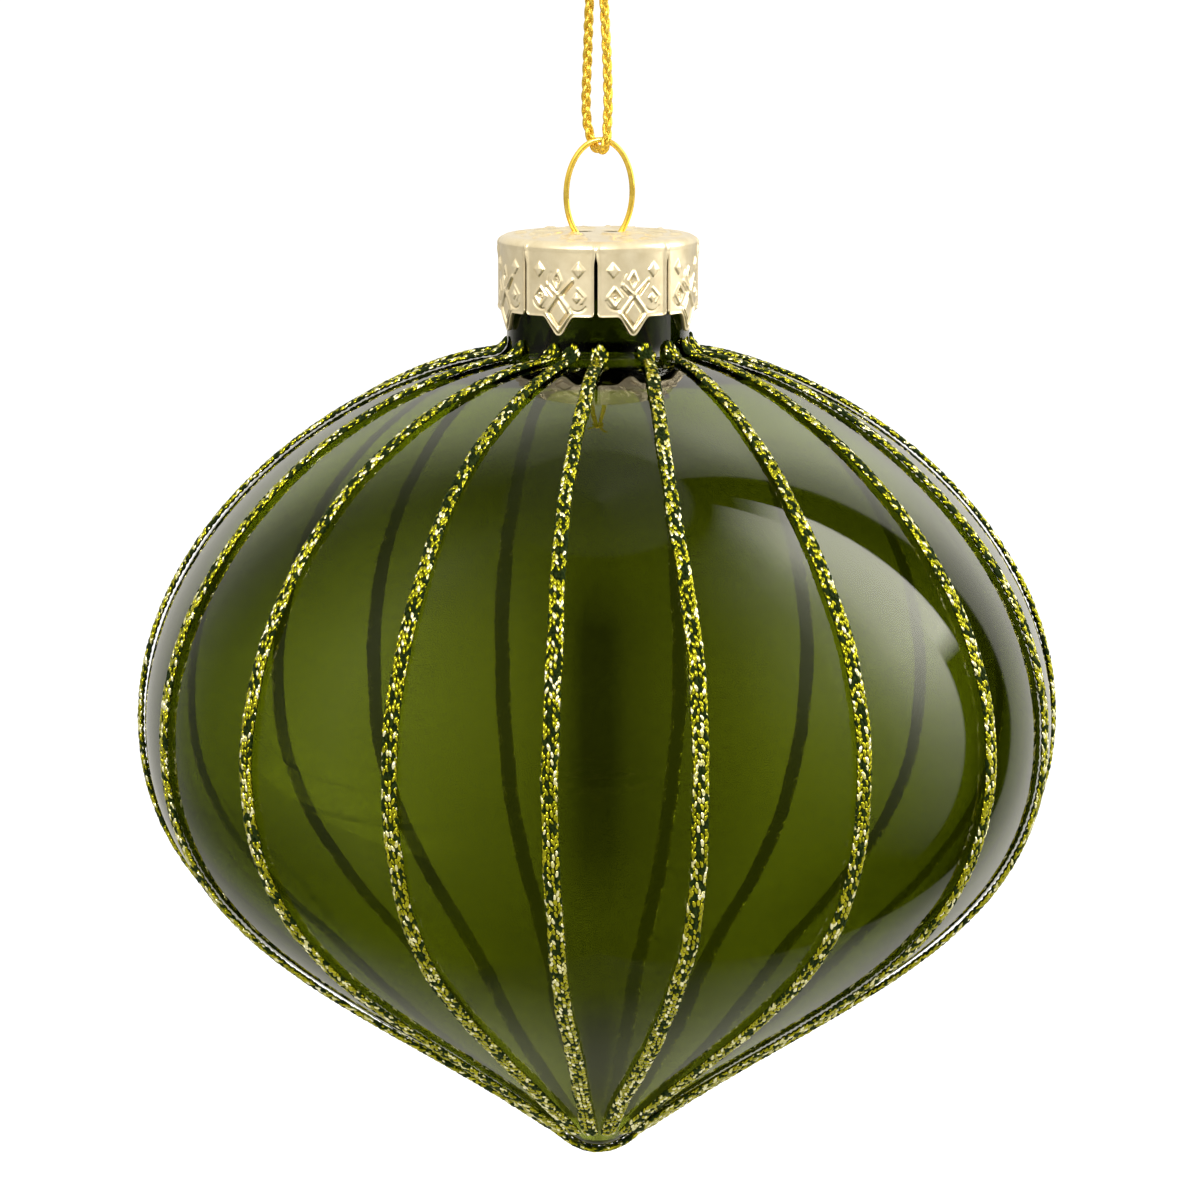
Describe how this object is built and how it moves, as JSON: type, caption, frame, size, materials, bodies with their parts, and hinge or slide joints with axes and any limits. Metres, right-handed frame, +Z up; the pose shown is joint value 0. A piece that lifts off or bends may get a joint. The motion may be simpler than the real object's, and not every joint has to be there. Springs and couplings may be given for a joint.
{
  "type": "hanging bauble",
  "caption": "Onion-shaped hollow glass bauble with applied trim cords, a toothed metal cap, a sprung wire hanger and a short hanging cord.",
  "frame": {"origin": "the top of the hanging cord's loop, just under its knot, where a hook or twig passes", "axes": "+Z up along the bauble's axis; -Y towards the viewer; the wire ring and the cap's two wire holes lie along X"},
  "size_m": [0.08, 0.0791, 0.1116],
  "materials": {
    "green_glass": "clear olive-green blown glass, glossy",
    "cap_metal": "stamped thin sheet, pale gold, satin",
    "gold_wire": "bright gold-plated spring wire",
    "gold_cord": "chain-braided metallic thread",
    "trim_cord": "braided green cord with metallic gold and silver flecks"
  },
  "bodies": {
    "cord": {"hanging_cord": "gold_cord", "cord_knot": "gold_cord"},
    "hanger": {"hanger_wire": "gold_wire"},
    "cap": {"crown_cap": "cap_metal"},
    "glass": {"glass_body": "green_glass", "trim_cord_01": "trim_cord", "trim_cord_02": "trim_cord", "trim_cord_03": "trim_cord", "trim_cord_04": "trim_cord", "trim_cord_05": "trim_cord", "trim_cord_06": "trim_cord", "trim_cord_07": "trim_cord", "trim_cord_08": "trim_cord", "trim_cord_10": "trim_cord", "trim_cord_11": "trim_cord", "trim_cord_12": "trim_cord", "trim_cord_13": "trim_cord", "trim_cord_14": "trim_cord", "trim_cord_15": "trim_cord", "trim_cord_16": "trim_cord", "trim_cord_17": "trim_cord", "trim_cord_across_tip": "trim_cord"}
  },
  "joints": [
    {"name": "ring_swing", "type": "hinge", "parent": "cord", "child": "hanger", "pos_m": [0.00021, 0, -0.01624], "axis": [1, 0, 0], "range_deg": [-60, 60]},
    {"name": "hanger_tilt", "type": "hinge", "parent": "hanger", "child": "cap", "pos_m": [0, 0, -0.02477], "axis": [1, 0, 0], "range_deg": [-8, 8]},
    {"name": "glass_pull", "type": "slide", "parent": "cap", "child": "glass", "axis": [0, 0, -1], "range_m": [0, 0.014]}
  ]
}
